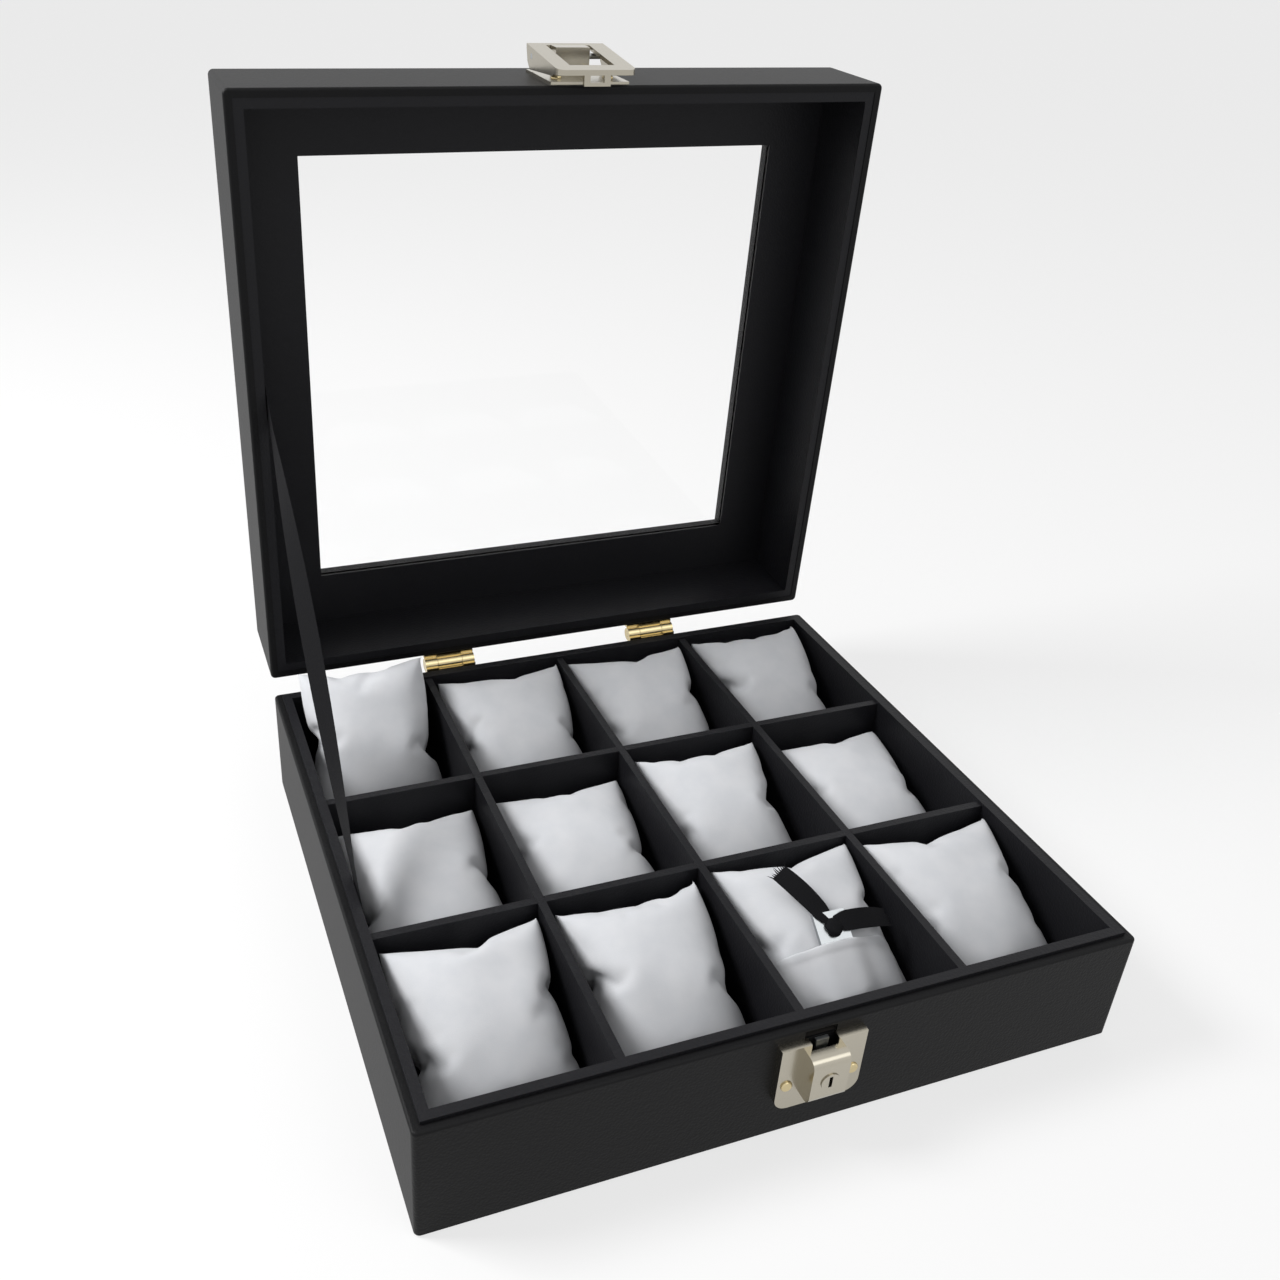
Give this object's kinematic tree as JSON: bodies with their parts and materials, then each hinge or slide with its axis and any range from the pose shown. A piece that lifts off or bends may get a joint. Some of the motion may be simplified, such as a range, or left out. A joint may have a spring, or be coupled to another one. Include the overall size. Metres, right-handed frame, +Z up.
{
  "type": "watch box",
  "caption": "Hinged box with a glazed lid, divided inside for watch pillows, with a stay ribbon, a key lock and a hinged hasp.",
  "frame": {"origin": "centre of the underside, on the surface that the box stands on", "axes": "+Z up, +X to the right as seen from the front, front with the lock at -Y"},
  "size_m": [0.25, 0.2842, 0.2925],
  "materials": {
    "leatherette": "satin grain",
    "lining": "satin grain",
    "board": "dyed fibreboard",
    "felt": "napped",
    "glass": "clear",
    "nickel": "polished",
    "steel": "polished",
    "brass": "bright",
    "ribbon": "woven",
    "pillow_cloth": "fine suede cloth"
  },
  "bodies": {
    "base": {"base_felt": "felt", "base_bottom_panel": "board", "floor_lining": "lining", "base_wrap": "leatherette", "hinge_pins": "brass", "hinge_base_screws": "brass", "lock_plate": "nickel", "lock_case": "nickel", "lock_nails": "brass", "stay_ribbon": "ribbon", "base_front_wall": "board", "liner_front": "lining", "base_back_wall": "board", "liner_back": "lining", "base_left_wall": "board", "liner_left": "lining", "base_right_wall": "board", "liner_right": "lining", "row_divider_front": "lining", "row_divider_back": "lining", "column_divider_left": "lining", "column_divider_middle": "lining", "column_divider_right": "lining", "hinge_base_leaf_left": "brass", "hinge_base_leaf_right": "brass"},
    "lid": {"lid_wrap": "leatherette", "lid_glass": "glass", "lid_top_frame": "board", "lid_lining_frame": "lining", "lid_side_linings": "lining", "lid_end_linings": "lining", "hinge_lid_screws": "brass", "lid_front_wall": "board", "lid_back_wall": "board", "lid_left_wall": "board", "lid_right_wall": "board", "hinge_lid_leaf_left": "brass", "hinge_lid_leaf_right": "brass", "hasp_plate": "nickel", "hasp_pin": "steel", "hasp_nails": "brass"},
    "hasp": {"hasp_flap": "nickel"},
    "lock_plug": {"lock_plug": "nickel"},
    "lock_bolt": {"lock_bolt": "steel"},
    "key": {"key": "steel", "key_ribbon_left": "ribbon", "key_ribbon_right": "ribbon"},
    "pillow_back_1": {"pillow_back_1": "pillow_cloth"},
    "pillow_back_2": {"pillow_back_2": "pillow_cloth"},
    "pillow_back_3": {"pillow_back_3": "pillow_cloth"},
    "pillow_back_4": {"pillow_back_4": "pillow_cloth"},
    "pillow_middle_1": {"pillow_middle_1": "pillow_cloth"},
    "pillow_middle_2": {"pillow_middle_2": "pillow_cloth"},
    "pillow_middle_3": {"pillow_middle_3": "pillow_cloth"},
    "pillow_middle_4": {"pillow_middle_4": "pillow_cloth"},
    "pillow_front_1": {"pillow_front_1": "pillow_cloth"},
    "pillow_front_2": {"pillow_front_2": "pillow_cloth"},
    "pillow_front_3": {"pillow_front_3": "pillow_cloth", "pillow_pocket": "pillow_cloth"},
    "pillow_front_4": {"pillow_front_4": "pillow_cloth"}
  },
  "joints": [
    {"name": "lid_hinge", "type": "hinge", "parent": "base", "child": "lid", "pos_m": [0, 0.12, 0.04575], "axis": [1, 0, 0], "range_deg": [0, 88], "deforming": ["stay_ribbon"]},
    {"name": "hasp_pivot", "type": "hinge", "parent": "lid", "child": "hasp", "pos_m": [0.004, 0.13578, 0.28865], "axis": [-1, 0, 0], "range_deg": [-4, 75]},
    {"name": "lock_plug_turn", "type": "hinge", "parent": "base", "child": "lock_plug", "pos_m": [0.004, -0.12, 0.0295], "axis": [0, -1, 0], "range_deg": [0, 90]},
    {"name": "lock_bolt_slide", "type": "slide", "parent": "base", "child": "lock_bolt", "axis": [0, 0, 1], "range_m": [0, 0.0036]},
    {"name": "pillow_back_1_lift", "type": "slide", "parent": "base", "child": "pillow_back_1", "axis": [0, 0, -1], "range_m": [-0.065, 0]},
    {"name": "pillow_back_2_lift", "type": "slide", "parent": "base", "child": "pillow_back_2", "axis": [0, 0, -1], "range_m": [-0.065, 0]},
    {"name": "pillow_back_3_lift", "type": "slide", "parent": "base", "child": "pillow_back_3", "axis": [0, 0, -1], "range_m": [-0.065, 0]},
    {"name": "pillow_back_4_lift", "type": "slide", "parent": "base", "child": "pillow_back_4", "axis": [0, 0, -1], "range_m": [-0.065, 0]},
    {"name": "pillow_middle_1_lift", "type": "slide", "parent": "base", "child": "pillow_middle_1", "axis": [0, 0, -1], "range_m": [-0.065, 0]},
    {"name": "pillow_middle_2_lift", "type": "slide", "parent": "base", "child": "pillow_middle_2", "axis": [0, 0, -1], "range_m": [-0.065, 0]},
    {"name": "pillow_middle_3_lift", "type": "slide", "parent": "base", "child": "pillow_middle_3", "axis": [0, 0, -1], "range_m": [-0.065, 0]},
    {"name": "pillow_middle_4_lift", "type": "slide", "parent": "base", "child": "pillow_middle_4", "axis": [0, 0, -1], "range_m": [-0.065, 0]},
    {"name": "pillow_front_1_lift", "type": "slide", "parent": "base", "child": "pillow_front_1", "axis": [0, 0, -1], "range_m": [-0.065, 0]},
    {"name": "pillow_front_2_lift", "type": "slide", "parent": "base", "child": "pillow_front_2", "axis": [0, 0, -1], "range_m": [-0.065, 0]},
    {"name": "pillow_front_3_lift", "type": "slide", "parent": "base", "child": "pillow_front_3", "axis": [0, 0, -1], "range_m": [-0.065, 0]},
    {"name": "pillow_front_4_lift", "type": "slide", "parent": "base", "child": "pillow_front_4", "axis": [0, 0, -1], "range_m": [-0.065, 0]},
    {"name": "key_pull", "type": "slide", "parent": "pillow_front_3", "child": "key", "axis": [0, -0.7866, -0.6174], "range_m": [-0.03, 0]}
  ]
}
